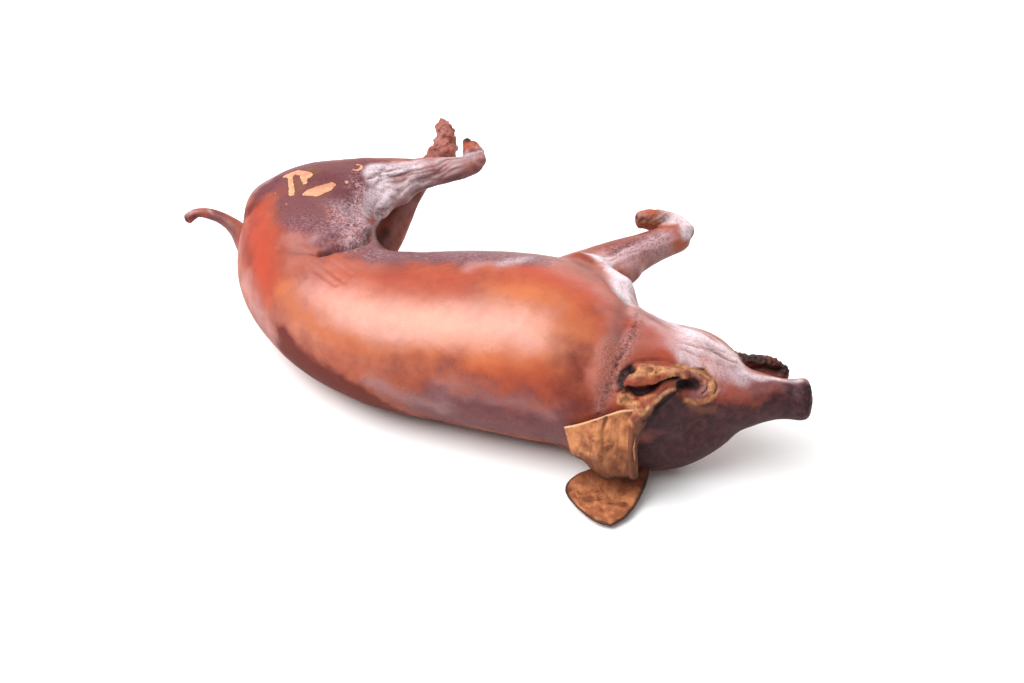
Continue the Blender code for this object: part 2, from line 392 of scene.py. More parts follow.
# ---- The small parts: jaw, tail, feet and claws ----
# The lower jaw has burnt down to a thin crust. The forefeet are folded back, and the hind feet end in
# stubs where the smoke has scorched and crumbled them.
JAW = [
    (200, -38, 74, 30, 40),
    (222, -37, 79, 20, 28),
    (242, -33, 82, 12, 19),
    (260, -30, 85, 8.5, 14.5),
    (275, -31, 84, 5, 9),
]
TAIL = [
    (-240, 96, 58, 19, 18),
    (-256, 110, 60, 13, 12),
    (-270, 122, 65, 9, 8.5),
    (-285, 129, 70, 6.5, 6.5),
    (-300, 130, 74, 6, 6),
    (-312, 127, 75, 5, 5),
    (-319, 121, 72, 6, 6),
]
FOOT_FORE_LEFT = [
    (162, 138, 109, 13, 12),
    (154, 144, 113, 11, 11),
    (143, 146, 115, 9, 11),
    (131, 145, 116, 8, 11),
    (121, 143, 116, 6, 9),
]
FOOT_FORE_RIGHT = [
    (106, 141, 13, 13, 12),
    (97, 144, 14, 11, 11),
    (85, 141, 16, 9, 11),
    (74, 135, 18, 8, 11),
    (65, 130, 19, 6, 9),
]
CLAWS_HIND_RIGHT = [
    (-91, 236, 107, 13, 13),
    (-90, 246, 114, 11, 12),
    (-94, 256, 121, 8, 9),
    (-99, 266, 129, 3.5, 4),
]
CLAW_HIND_LEFT = [
    (-50, 178, 141, 7, 7),
    (-53, 186, 146, 5.5, 5.5),
    (-56, 193, 150, 4.5, 4.5),
]
TOE_HIND_LEFT = [
    (-42, 176, 140, 9, 9),
    (-45, 184, 146, 7, 6),
    (-49, 189, 151, 4, 4),
]


def grains(name, sections, count, radii, seed):
    """Small balls sunk in the surface of a tube: scorched skin that has blistered and crumbled."""
    draw = random.Random(seed)
    rows = smooth_rows(sections, 8)
    bm = bmesh.new()
    for _ in range(count):
        i = draw.randrange(len(rows) - 1)
        centre = Vector(rows[i][:3])
        along = (Vector(rows[i + 1][:3]) - centre).normalized()
        side = (Vector((0, 0, 1)) - along * along.z).normalized()
        turn = draw.uniform(0, 2 * math.pi)
        place = centre + side * rows[i][4] * math.cos(turn) + along.cross(side) * rows[i][3] * math.sin(turn)
        made = bmesh.ops.create_icosphere(bm, subdivisions=2, radius=draw.uniform(*radii) * MM)
        bmesh.ops.translate(bm, verts=made["verts"], vec=place * MM)
    return linked(name, bm)


small_parts = [
    loft("jaw", JAW),
    loft("tail", TAIL, sides=32),
    loft("foot_fore_left", FOOT_FORE_LEFT, sides=32),
    loft("foot_fore_right", FOOT_FORE_RIGHT, sides=32),
    loft("claws_hind_right", CLAWS_HIND_RIGHT, sides=32),
    grains("grains_hind_right", CLAWS_HIND_RIGHT, 60, (1.8, 4), seed=3),
    loft("claw_hind_left", CLAW_HIND_LEFT, sides=24),
    loft("toe_hind_left", TOE_HIND_LEFT, sides=24),
]


# ---- The roots of the ears ----
# Gristle under dried skin. The left ear rises as a thick rolled rim above its opening, with round lumps
# of gristle in it, and gathers into a narrow neck below, from which its leaf hangs.
EAR_ROLL = [
    (144, -106, 101, 5, 5),
    (150, -102, 108, 8, 8),
    (162, -97, 112, 10, 9),
    (176, -93, 111, 9, 9),
    (188, -88, 110, 7, 7),
    (197, -85, 108, 4, 4),
]
EAR_NECK = [
    (163, -100, 99, 8, 17),
    (163, -110, 92, 8, 13),
    (162, -121, 84, 6, 8),
    (160, -128, 68, 4, 5),
    (161, -133, 52, 3.2, 4.5),
    (163, -137, 36, 2.8, 3.5),
]
LUMPS = [
    (153, -100, 111, 7.5),
    (161, -97, 114, 9.5),
    (170, -98, 112, 8.5),
    (178, -95, 112, 8),
    (176, -100, 108, 5),
    (186, -91, 110, 6),
]


def lumps(name, balls):
    """Round lumps of gristle."""
    bm = bmesh.new()
    for x, y, z, radius in balls:
        made = bmesh.ops.create_icosphere(bm, subdivisions=3, radius=radius * MM)
        bmesh.ops.translate(bm, verts=made["verts"], vec=Vector((x, y, z)) * MM)
    return linked(name, bm)


small_parts += [
    loft("ear_roll", EAR_ROLL, sides=32, side_axis=(0, -0.7, 0.7)),
    lumps("ear_lumps", LUMPS),
    loft("ear_neck", EAR_NECK, sides=32, side_axis=(1, 0, 0)),
]


# ---- The skin ----
# Roasted skin, tight over the muscles and drawn into wrinkles where it dried. It is one closed skin over
# all of the parts above, in quads of just over a millimetre. Creases are pressed in along lines: how
# deep, how wide, then the places that each runs through. A negative depth raises a ridge.
SKIN_VOXEL = 1.35
SKIN_SMOOTHING = 4
HAM_CREASES = [
    (2, 3.5, (-190, 14, 119), (-183, 9, 122), (-168, 5, 126), (-153, 2, 129), (-141, 3, 131)),
    (
        5,
        3.2,
        (-147, 2, 130),
        (-130, 9, 132),
        (-121, 18, 131),
        (-116, 28, 129),
        (-113, 42, 126),
        (-115, 56, 122),
    ),
    (-2.5, 9, (-150, 22, 130), (-136, 34, 130), (-128, 52, 128)),
    (-3, 4.5, (-140, 14, 132), (-130, 20, 132), (-125, 31, 130)),
    (-3, 4.5, (-124, 44, 127), (-121, 60, 123)),
    (3, 2, (-142, 24, 132), (-133, 27, 132), (-121, 33, 129)),
    (3, 2, (-136, 52, 130), (-127, 50, 129), (-117, 52, 124)),
    (1.6, 2, (-134, 70, 126), (-122, 70, 119)),
]
RUMP_CREASES = [
    (2, 9, (-136, 166, 143), (-122, 168, 143), (-108, 168, 144)),
    (4.5, 6, (-246, 137, 69), (-237, 153, 68), (-222, 164, 67), (-205, 169, 66), (-192, 168, 66)),
]
HOCK_CREASES = [
    (-8, 12, (-126, 124, 106), (-118, 134, 112), (-108, 142, 114)),
    (1.1, 1.7, (-126, 145, 139), (-114, 151, 140), (-101, 154, 140)),
    (1.2, 1.8, (-127, 141, 137), (-114, 147, 136), (-99, 151, 138)),
    (1.3, 1.8, (-127, 137, 135), (-113, 142, 133), (-99, 148, 133)),
    (1.4, 1.9, (-127, 133, 132), (-116, 137, 128), (-104, 143, 129)),
    (1.4, 1.9, (-128, 130, 130), (-119, 133, 124), (-111, 138, 121)),
    (1.2, 1.8, (-128, 126, 126), (-121, 129, 119), (-115, 135, 114)),
]
FLANK_CREASES = [
    (0.7, 2, (-146, -9, 127), (-130, -22, 126), (-115, -33, 125)),
    (0.8, 2, (-140, -4, 129), (-124, -16, 129), (-110, -26, 128)),
    (0.7, 2, (-134, -1, 130), (-120, -11, 131), (-106, -19, 131)),
    (0.5, 2, (-150, -15, 124), (-136, -26, 123), (-123, -35, 122)),
]
NECK_CREASES = [
    (-6, 12, (121, 66, 106), (127, 76, 102)),
    (-11, 14, (82, 48, 117), (98, 44, 117), (111, 30, 119), (122, 14, 122)),
    (3, 9, (112, 12, 134), (122, 0, 134), (130, -12, 133)),
    (2.2, 6, (135, -17, 132), (137, -61, 136), (138, -88, 126), (136, -112, 99)),
    (1.2, 1.8, (147, -34, 132), (148, -64, 133), (145, -78, 129), (139, -93, 121), (133, -110, 100)),
    (0.9, 1.6, (140, -58, 135), (137, -74, 131), (132, -90, 121), (127, -108, 103)),
    (-1, 6, (125, -40, 138), (126, -80, 131), (124, -110, 104)),
]
EAR_CREASES = [
    (7, 2.6, (151, -109, 105), (156, -108, 103), (161, -107, 104), (167, -105, 105), (173, -104, 107)),
    (8, 2.6, (173, -104, 107), (179, -103, 111), (185, -99, 112), (191, -94, 111)),
    (5, 4, (150, -97, 118), (147, -102, 114), (145, -106, 106)),
    (1.6, 1.6, (149, -95, 121), (157, -89, 122), (169, -84, 121), (182, -81, 118), (190, -84, 112)),
    (1.8, 1.8, (160, -93, 121), (163, -98, 116), (160, -103, 112)),
    (1.6, 1.8, (172, -91, 119), (172, -97, 114)),
    (1.6, 2.4, (152, -111, 97), (156, -117, 93), (161, -121, 88)),
    (1.5, 2.2, (158, -108, 99), (165, -113, 97), (167, -118, 92)),
    (
        -1.8,
        2.6,
        (193, -92, 103),
        (183, -100, 102),
        (177, -107, 98),
        (170, -115, 95),
        (165, -122, 91),
        (161, -127, 86),
    ),
    (-1.2, 2, (143, -110, 98), (148, -118, 91), (154, -123, 86), (159, -127, 82)),
    (2.4, 1.8, (190, -98, 99), (184, -104, 95), (179, -108, 91), (173, -114, 87), (168, -124, 85)),
    (1.2, 1.1, (158, -128, 74), (159, -133, 56), (161, -137, 40)),
]
FACE_CREASES = [
    (8, 5.5, (192, -90, 102), (198, -87, 102), (203, -86, 103)),
    (-1.8, 1.8, (194, -84, 112), (200, -79, 111), (207, -80, 108)),
    (-1.6, 1.6, (209, -80, 110), (213, -84, 104), (212, -88, 98)),
    (1.5, 1.4, (190, -82, 116), (199, -76, 115), (209, -76, 110)),
    (1.6, 1.3, (207, -78, 108), (213, -81, 105), (214, -85, 99), (211, -88, 95)),
    (1.4, 1.3, (211, -76, 109), (218, -78, 106), (222, -82, 101), (221, -86, 95)),
    (-1.5, 1.8, (197, -94, 90), (204, -93, 88), (212, -91, 87), (220, -89, 89)),
    (1.0, 1.3, (199, -91, 93), (206, -90, 92), (214, -89, 92)),
    (5, 5, (240, -42, 92), (255, -39, 92), (270, -36, 90)),
    (6, 4, (303, -51, 87)),
    (6, 4, (303, -53, 69)),
    (1.5, 3, (287, -75, 78), (285, -68, 92), (284, -55, 99)),
    (1.2, 1.5, (297, -59, 95), (300, -65, 88), (299, -69, 80)),
    (0.7, 2, (262, -78, 72), (264, -76, 84), (264, -68, 95)),
    (0.6, 2, (252, -82, 70), (253, -79, 84), (253, -70, 97)),
]
CREASES = [
    *HAM_CREASES,
    *RUMP_CREASES,
    *HOCK_CREASES,
    *FLANK_CREASES,
    *NECK_CREASES,
    *EAR_CREASES,
    *FACE_CREASES,
]

# Where the skin has dried into crumples and crags: how high, how wide the place is, then its middle line.
CRUMPLED = [
    (1.5, 7, (151, -108, 98), (160, -114, 97), (163, -120, 91)),
    (2.2, 6, (150, -98, 117), (145, -105, 108), (147, -108, 100)),
    (1.5, 9, (154, -100, 118), (171, -98, 118), (183, -93, 111)),
    (1.5, 7, (192, -90, 102), (205, -85, 103)),
    (0.9, 7, (212, -84, 106), (220, -87, 94)),
    (1.7, 8, (228, -36, 100), (250, -32, 99), (274, -31, 92)),
    (1.0, 8, (296, -62, 94), (297, -72, 74)),
    (0.9, 5, (147, -50, 133), (145, -78, 129), (139, -95, 118), (133, -110, 100), (129, -117, 86)),
    (1.9, 12, (-90, 236, 112), (-94, 256, 124)),
    (1.2, 8, (-52, 183, 150), (-40, 180, 148)),
    (1.1, 9, (122, 142, 118), (140, 141, 120)),
    (1.4, 6, (-318, 121, 73)),
    (1.0, 9, (-140, 14, 131), (-124, 30, 128), (-121, 62, 121)),
]

# Where the skin is drawn into fine wrinkles that all run one way: how deep, how wide the place is, then
# the line that they follow.
DRAWN = [
    (1.7, 10, (-132, 134, 134), (-111, 146, 136), (-76, 162, 141), (-44, 176, 149)),
    (1.4, 9, (-128, 116, 106), (-116, 134, 118), (-94, 146, 127), (-60, 158, 137)),
    (1.4, 10, (98, 48, 120), (113, 78, 117), (128, 97, 115), (150, 122, 114)),
    (1.3, 8, (139, -9, 125), (164, -24, 123), (193, -38, 121), (219, -42, 114)),
    (1.3, 8, (196, -60, 120), (221, -58, 114), (240, -56, 107)),
    (1.0, 4, (191, -93, 103), (177, -107, 98), (161, -127, 86)),
    (0.9, 4, (161, -128, 80), (164, -137, 38)),
    (0.7, 9, (208, -77, 110), (219, -82, 102), (216, -90, 92)),
    (0.6, 15, (-164, 2, 124), (-150, -12, 124), (-136, -22, 124)),
]

skin = fused("skin", [carcass, *small_parts], SKIN_VOXEL, SKIN_SMOOTHING)


def of_each_vertex(mesh, key):
    """The place or the normal of every vertex, a row for each."""
    numbers = np.empty(len(mesh.vertices) * 3)
    mesh.vertices.foreach_get(key, numbers)
    return numbers.reshape(-1, 3)


FADED = 2.6  # widths from a line, where about a thousandth of its effect is left


def nearness(places, width, path):
    """1 on a line through these places, falling off softly over this width."""
    route = np.array(smooth_rows(path, 6)) if len(path) > 1 else np.array([path[0], path[0]], float)
    reach = width * FADED
    inside = np.all((places > route.min(axis=0) - reach) & (places < route.max(axis=0) + reach), axis=1)
    near = places[inside]
    nearest = np.full(len(near), np.inf)
    for a, b in zip(route, route[1:]):
        run = b - a
        share = np.clip((near - a) @ run / max(run @ run, 1e-9), 0, 1)
        nearest = np.minimum(nearest, np.linalg.norm(near - a - share[:, None] * run, axis=1))
    value = np.zeros(len(places))
    value[inside] = np.exp(-((nearest / width) ** 2))
    return value


def waves(places, size, seed, octaves=3):
    """Smooth random hills and hollows from -1 to 1, about this many millimetres across."""
    shift = Vector((seed * 7.3, seed * 3.1, seed * 5.7))
    return np.array([noise.fractal(Vector(p) / size + shift, 1.0, 2.0, octaves) for p in places])


places = of_each_vertex(skin.data, "co") / MM
normals = of_each_vertex(skin.data, "normal")

# Lines drawn on drifting places have the uneven edges of real creases and stains.
DRIFT_SIZE = 18
DRIFT = 7
drift = np.stack([waves(places, DRIFT_SIZE, seed) for seed in (4, 5, 6)], axis=1) * DRIFT
wobbling = places + drift * 0.15
wandering = places + drift

# All relief is added up as the depth that each vertex is sunk by.
sunk = np.zeros(len(places))
for depth, width, *path in CREASES:
    sunk += depth * nearness(wobbling, width, path)

# Crags are sharp-edged hills a few millimetres across, with finer lumps on them.
crumple = np.zeros(len(places))
for height, width, *path in CRUMPLED:
    crumple = np.maximum(crumple, height * nearness(places, width, path))
crumpled = crumple > 0.05
crag = np.abs(waves(places[crumpled], 6, 11)) * 2.6 + 0.6 * waves(places[crumpled], 2.8, 12, 2) - 0.7
sunk[crumpled] += crumple[crumpled] * crag

# Wrinkles are waves that are stretched along the line that the skin is drawn in.
STRETCHED = 0.93
wrinkle = np.zeros(len(places))
for depth, width, *path in DRAWN:
    run = np.subtract(path[-1], path[0])
    run = run / np.linalg.norm(run)
    near = nearness(places, width, path)
    drawn = near > 0.04
    across = places[drawn] + 0.3 * drift[drawn]
    across = across - STRETCHED * np.outer(across @ run, run)
    wrinkle[drawn] += depth * near[drawn] * waves(across, 4.8, 21)
sunk += wrinkle

# The whole skin swells and dips a little over muscle and bone, and nothing of it sinks into the table.
swell = waves(places, 55, 1, 2)
ripple = waves(places, 14, 2)
resting = places
places = places + normals * (1.0 * swell + 0.16 * ripple - sunk)[:, None]
places[:, 2] = np.maximum(places[:, 2], 0)

# Each colour of the skin lies along lines too: how strong, how far it spreads, then its places. The
# first is the purple-brown that the smoke left on the ham, along the belly and low on the flank.
DUSK = [
    (1.0, 26, (-229, 111, 130), (-205, 125, 138), (-173, 130, 140), (-140, 140, 138)),
    (0.95, 22, (-190, 78, 134), (-160, 90, 132), (-142, 100, 128)),
    (0.95, 20, (-186, 56, 133), (-158, 40, 132), (-136, 40, 130), (-130, 70, 124)),
    (0.7, 10, (-158, 16, 130), (-132, 14, 131)),
    (0.85, 21, (-96, 8, 132), (-60, 12, 134), (-13, 10, 140), (33, 6, 146), (46, 6, 148)),
    (0.75, 30, (-92, 38, 116), (-20, 50, 120), (36, 48, 122)),
    (0.6, 34, (-80, 64, 74), (-10, 74, 78), (50, 68, 82)),
    (0.7, 15, (113, 75, 116), (145, 110, 112)),
    (0.5, 14, (-78, -92, 62), (-42, -97, 54), (-12, -101, 58)),
    (0.35, 16, (100, -116, 82), (96, -116, 66)),
    (0.75, 18, (-30, -96, 42), (21, -100, 40), (67, -104, 38), (94, -106, 40)),
    (0.7, 17, (-12, -105, 66), (42, -111, 62), (95, -113, 64)),
    (0.8, 22, (-96, 150, 124), (-50, 170, 134)),
    (0.9, 22, (-190, 120, 20), (-150, 150, 40)),
    (0.4, 12, (-7, -99, 95), (12, -103, 92), (30, -106, 88)),
    (0.4, 11, (6, -106, 72), (32, -109, 78), (56, -111, 84), (68, -111, 88)),
    (0.6, 26, (-228, 128, 84), (-190, 168, 104), (-130, 186, 114)),
    (0.5, 24, (-150, 170, 40), (-112, 200, 70)),
    (0.5, 20, (100, 100, 84), (140, 124, 92)),
    (0.8, 10, (-262, 110, 62), (-280, 122, 70), (-300, 128, 74), (-318, 120, 74)),
    (0.7, 26, (150, -98, 66), (176, -104, 78)),
    (0.9, 12, (286, -56, 98), (290, -64, 92), (290, -72, 80)),
    (0.6, 9, (213, -55, 118), (226, -60, 112), (250, -70, 100), (276, -64, 97)),
    (0.5, 16, (196, -84, 106), (214, -84, 104), (236, -80, 99), (262, -72, 97)),
]
# Red, on the rump and above the shoulder.
EMBER = [
    (1.0, 20, (-240, 80, 118), (-230, 52, 112), (-212, 22, 110), (-200, -8, 100)),
    (0.9, 24, (50, -20, 146), (100, -34, 144)),
    (0.6, 20, (30, -95, 108), (80, -98, 108)),
    (0.6, 12, (150, -50, 133), (178, -66, 125)),
    (0.6, 11, (-230, 90, 126), (-234, 74, 116)),
    (0.4, 9, (206, -92, 82), (222, -90, 82), (236, -86, 88)),
    (0.5, 6, (-112, 139, 119), (-104, 144, 121)),
    (0.4, 5, (-88, 150, 127), (-78, 153, 130)),
    (0.5, 30, (-120, -40, 120), (-20, -30, 132)),
]
# Orange, along the flank, and round the flank's highlight partly a painted highlight.
GOLD_AND_PAINTED_HIGHLIGHT = [
    (0.8, 11, (-176, -26, 104), (-151, -50, 94), (-119, -67, 97), (-79, -80, 102), (-20, -87, 110)),
    (0.9, 22, (-120, -58, 112), (-36, -72, 118), (35, -77, 130), (84, -74, 136)),
    (1.0, 16, (28, -48, 145), (55, -49, 148), (88, -54, 146)),
    (1.0, 15, (21, -93, 115), (56, -97, 117), (84, -94, 122), (98, -78, 135)),
    (0.8, 9, (-98, 146, 126), (-69, 154, 132), (-55, 159, 136)),
    (0.6, 8, (131, 84, 107), (162, 120, 108)),
]
# Dark red-brown and dull, at the bottom of the flank and in the shade of the thighs, where its darkness is
# partly painted shade.
WINE_AND_PAINTED_SHADE = [
    (1.0, 22, (-172, -50, 50), (-148, -60, 44), (-126, -69, 38), (-100, -78, 34), (-84, -82, 32)),
    (0.6, 12, (-84, -82, 28), (-40, -86, 22), (20, -92, 20), (90, -98, 20)),
    (0.9, 12, (-170, -48, 65), (-154, -58, 58), (-132, -70, 52), (-109, -78, 46), (-87, -85, 43)),
    (0.3, 14, (-22, -100, 64), (24, -106, 66), (68, -110, 62)),
    (0.6, 26, (100, -96, 120), (104, -108, 104), (108, -115, 86)),
    (0.4, 15, (-236, 66, 112), (-231, 42, 104), (-222, 20, 100)),
    (0.8, 12, (-188, 111, 141), (-170, 115, 141)),
    (0.8, 10, (-111, 139, 110), (-120, 138, 100), (-128, 130, 92)),
    (0.5, 30, (-150, 120, 62), (-127, 160, 66), (-112, 190, 84)),
    (0.9, 9, (-247, 96, 100), (-240, 88, 118), (-231, 98, 127), (-218, 116, 134)),
    (1.0, 6, (166, -122, 88), (160, -130, 72), (162, -135, 52), (165, -138, 34)),
]
# Nearly black: soot on the snout, and painted shade below the ear, under the head and in the pocket between
# the thighs.
SOOT_AND_PAINTED_SHADE = [
    (1.0, 21, (165, -108, 40), (196, -102, 56), (228, -90, 66), (262, -80, 70), (296, -68, 74)),
    (1.0, 15, (182, -108, 88), (203, -96, 76), (230, -90, 74)),
    (1.0, 24, (190, -98, 26), (212, -88, 30), (230, -78, 48)),
    (1.0, 9, (168, -126, 72), (176, -114, 82), (188, -102, 86)),
    (0.8, 8, (296, -60, 90), (298, -66, 72)),
    (0.8, 8, (272, -70, 88), (284, -68, 88)),
    (0.6, 8, (284, -58, 97), (290, -62, 94)),
    (0.9, 20, (-132, 118, 84), (-122, 130, 70)),
]
# A pale film of fat on the skin, partly painted light: a painted sheen along the rump's lower edge and below
# the flank's highlight, and lighter undersides of the legs.
FAT_FILM_AND_PAINTED_SHEEN = [
    (0.65, 15, (-226, 8, 80), (-215, -6, 74), (-200, -21, 67), (-186, -35, 60)),
    (0.5, 15, (-78, -92, 66), (-42, -97, 55), (-10, -101, 54)),
    (0.6, 13, (-4, -8, 144), (20, -8, 147), (34, 0, 148)),
    (0.7, 10, (-140, 120, 131), (-137, 98, 121), (-129, 68, 123), (-125, 40, 128), (-126, 20, 131)),
    (0.9, 12, (-126, 124, 106), (-118, 134, 111), (-108, 142, 113)),
    (0.4, 13, (150, -74, 129), (174, -63, 126), (195, -64, 120)),
    (0.7, 12, (136, -12, 128), (150, -36, 132), (168, -46, 128), (190, -46, 123)),
    (0.5, 6, (287, -66, 92), (296, -68, 86)),
    (0.5, 8, (-240, 106, 122), (-236, 113, 128)),
    (0.9, 5, (-319, 120, 78), (-312, 123, 80)),
    (0.4, 13, (-12, -102, 80), (24, -108, 80), (60, -112, 79), (86, -114, 74)),
    (0.9, 10, (97, 60, 121), (113, 72, 116), (128, 92, 114), (150, 118, 114)),
    (0.6, 9, (118, 64, 108), (134, 88, 104), (156, 116, 106)),
    (0.65, 11, (-116, 134, 118), (-109, 140, 121), (-91, 148, 127), (-68, 155, 134), (-50, 161, 139)),
    (0.5, 13, (-184, 24, 127), (-172, 18, 129), (-162, 18, 131)),
    (0.3, 5, (-272, 116, 72), (-290, 124, 79), (-304, 126, 82), (-320, 120, 79)),
    (0.35, 10, (216, -84, 102), (236, -80, 100), (258, -71, 98), (272, -66, 96)),
    (0.7, 10, (136, 141, 120), (120, 140, 119)),
    (0.35, 16, (-170, -4, 121), (-145, -10, 127), (-115, -14, 131), (-88, -14, 133)),
    (0.4, 12, (112, -28, 142), (128, -66, 136), (128, -96, 120), (126, -106, 108)),
    (0.85, 12, (-90, 232, 108), (-95, 254, 122)),
    (0.4, 12, (-131, -59, 100), (-102, -70, 104), (-61, -82, 105), (-24, -86, 112)),
    (0.3, 12, (38, -84, 128), (60, -73, 138), (83, -58, 145)),
    (0.5, 10, (-124, 143, 59), (-117, 172, 72), (-112, 190, 80)),
    (0.5, 5, (206, -80, 110), (214, -82, 104), (212, -89, 94), (198, -94, 90)),
]
# Whitish colour, mostly a painted wet sheen standing in for the highlight of wet skin and partly a pale
# bloom, thickest on the ridges of the wrinkles.
BLOOM_AND_PAINTED_SHEEN = [
    (1.3, 10, (-134, 138, 138), (-126, 135, 132), (-125, 127, 120), (-127, 117, 106)),
    (1.1, 9, (-124, 143, 138), (-111, 149, 139), (-100, 154, 141)),
    (0.6, 9, (-94, 157, 142), (-76, 164, 144), (-49, 174, 146)),
    (0.9, 8, (-114, 137, 120), (-100, 144, 123), (-88, 149, 128)),
    (0.5, 8, (-80, 151, 131), (-60, 158, 138)),
    (0.5, 7, (-41, 182, 151), (-37, 176, 147), (-40, 168, 142)),
    (1.3, 11, (94, 54, 119), (102, 46, 120), (112, 32, 122), (122, 12, 127), (130, -6, 131)),
    (0.4, 9, (108, 66, 118), (126, 92, 116), (146, 114, 116)),
    (1.3, 8, (147, 140, 123), (155, 140, 123), (163, 138, 120), (166, 130, 116)),
    (0.65, 12, (136, -8, 126), (165, -22, 123), (190, -38, 122)),
    (0.7, 13, (196, -50, 122), (209, -55, 119), (223, -55, 114), (238, -52, 107)),
    (0.6, 11, (196, -70, 117), (206, -73, 113), (220, -72, 110), (240, -72, 104)),
    (0.7, 10, (196, -36, 121), (211, -41, 118), (223, -42, 113), (232, -40, 108)),
    (0.8, 8, (-134, 124, 127), (-133, 111, 118), (-129, 96, 116)),
    (0.5, 11, (22, -5, 147), (40, 5, 147)),
    (0.5, 14, (180, -62, 123), (194, -68, 119)),
    (0.8, 5, (240, -64, 104), (250, -64, 102), (262, -60, 100), (277, -54, 98), (290, -52, 98)),
    (0.6, 3, (-300, 126, 82), (-286, 122, 76)),
    (0.5, 2.5, (190, -94, 103), (177, -107, 98), (165, -122, 91)),
]
# Pale speckles between dark pores, in the groin.
FROST = [
    (1.2, 10, (-142, 120, 134), (-137, 108, 122), (-135, 86, 122), (-132, 60, 127)),
    (0.6, 11, (-150, 84, 132), (-146, 60, 132), (-140, 40, 132)),
    (0.9, 10, (-127, 66, 124), (-122, 40, 127), (-124, 16, 131)),
    (0.25, 14, (-176, 44, 132), (-150, 26, 131)),
    (0.35, 12, (-96, 8, 132), (-60, 14, 134), (-13, 12, 140), (33, 8, 145), (62, 6, 147)),
    (0.7, 12, (108, 72, 118), (129, 92, 117), (145, 110, 116)),
]
# The greasiest stretch of the flank.
GLOSS = [
    (1.0, 30, (-150, -44, 106), (-64, -68, 115), (17, -74, 129), (62, -76, 131)),
    (0.6, 18, (-140, -60, 95), (-90, -78, 99), (-48, -86, 101)),
]
# Dry, finely cracked skin round the neck and on the claws.
CRACKED = [
    (0.6, 5, (142, -12, 124), (149, -41, 132), (148, -64, 133)),
    (0.8, 6, (148, -64, 133), (145, -78, 129), (138, -97, 117), (132, -110, 100), (129, -117, 88)),
    (0.4, 8, (136, -72, 132), (128, -94, 120)),
    (0.9, 13, (-90, 234, 108), (-95, 256, 124)),
]
# Light brown gristle round the ear's opening and the eye.
TAN = [
    (1.0, 8, (155, -101, 118), (171, -97, 118), (183, -92, 113)),
    (0.9, 7, (150, -112, 98), (158, -116, 94)),
    (0.6, 4, (166, -110, 101), (172, -107, 102)),
    (0.7, 2.6, (190, -95, 103), (183, -100, 102), (177, -107, 98), (170, -115, 95), (165, -122, 91)),
    (0.9, 2.4, (143, -110, 98), (148, -118, 91), (154, -123, 86), (159, -127, 82)),
    (0.9, 3, (190, -86, 115), (198, -79, 113), (206, -77, 110)),
    (0.85, 6, (209, -77, 110), (216, -81, 105), (219, -85, 99)),
    (0.7, 3, (197, -94, 91), (206, -92, 89), (214, -90, 89), (221, -88, 93)),
    (0.7, 4, (186, -84, 115), (192, -79, 115)),
    (0.6, 3, (192, -92, 113), (198, -90, 111)),
]
# Browned skin, beside the peeled spots and at the ends of the legs.
BROWN = [
    (0.9, 6, (-199, 104, 138), (-196, 98, 137)),
    (0.9, 6, (-192, 125, 141), (-186, 122, 141)),
    (0.8, 4, (-178, 86, 135), (-166, 95, 136)),
    (0.8, 8, (127, 138, 119), (136, 138, 120), (145, 141, 122)),
    (0.5, 12, (-262, 112, 60), (-276, 122, 66)),
    (0.8, 12, (-100, 160, 96), (-112, 165, 78)),
    (1.0, 6, (168, -118, 92), (160, -130, 74), (162, -135, 52), (165, -138, 34)),
    (0.6, 6, (202, -93, 86), (212, -92, 81), (221, -90, 82)),
]
# Black: burnt crust at the tips of the claws and the tail and partly round the mouth, and painted shade in
# slits, nostrils, mouth and the eye's hollow and along the folds beside the ear.
CHAR_AND_PAINTED_SHADE = [
    (0.9, 2.2, (151, -109, 105), (156, -108, 103), (161, -107, 104), (167, -105, 105), (173, -104, 107)),
    (1.0, 2.6, (173, -104, 107), (179, -103, 111), (185, -99, 112), (191, -94, 111)),
    (1.0, 4, (150, -95, 118), (146, -99, 116), (143, -104, 112), (144, -110, 106)),
    (0.6, 1.5, (149, -95, 121), (157, -89, 122), (169, -84, 121), (182, -81, 118), (190, -84, 112)),
    (0.9, 1.6, (160, -93, 121), (163, -98, 116), (160, -103, 112)),
    (1.0, 5.5, (193, -91, 103), (198, -88, 102), (204, -86, 101)),
    (0.8, 1.4, (190, -82, 116), (199, -76, 115), (209, -74, 111)),
    (0.8, 1.3, (207, -78, 108), (213, -81, 105), (214, -85, 99), (211, -88, 95)),
    (0.7, 1.3, (211, -76, 109), (218, -78, 106), (222, -82, 101), (221, -86, 95)),
    (0.9, 1.6, (190, -98, 99), (184, -104, 95), (179, -108, 91), (173, -114, 87), (168, -124, 85)),
    (0.6, 5, (161, -130, 74), (162, -135, 52), (165, -138, 34)),
    (1.0, 9, (232, -34, 96), (250, -32, 96), (274, -31, 90)),
    (0.8, 6, (303, -53, 87), (303, -54, 70)),
    (0.8, 2, (297, -59, 95), (300, -65, 88), (299, -69, 80)),
    (0.9, 4, (-320, 116, 71)),
    (0.9, 6, (-55, 190, 154)),
    (0.9, 4, (119, 141, 119)),
    (0.6, 1.6, (145, -78, 129), (139, -93, 121), (133, -110, 100)),
    (0.5, 1.8, (202, -56, 121), (210, -55, 118), (218, -51, 116), (225, -48, 113)),
    (0.5, 1.6, (206, -50, 120), (214, -52, 117), (222, -54, 114)),
]
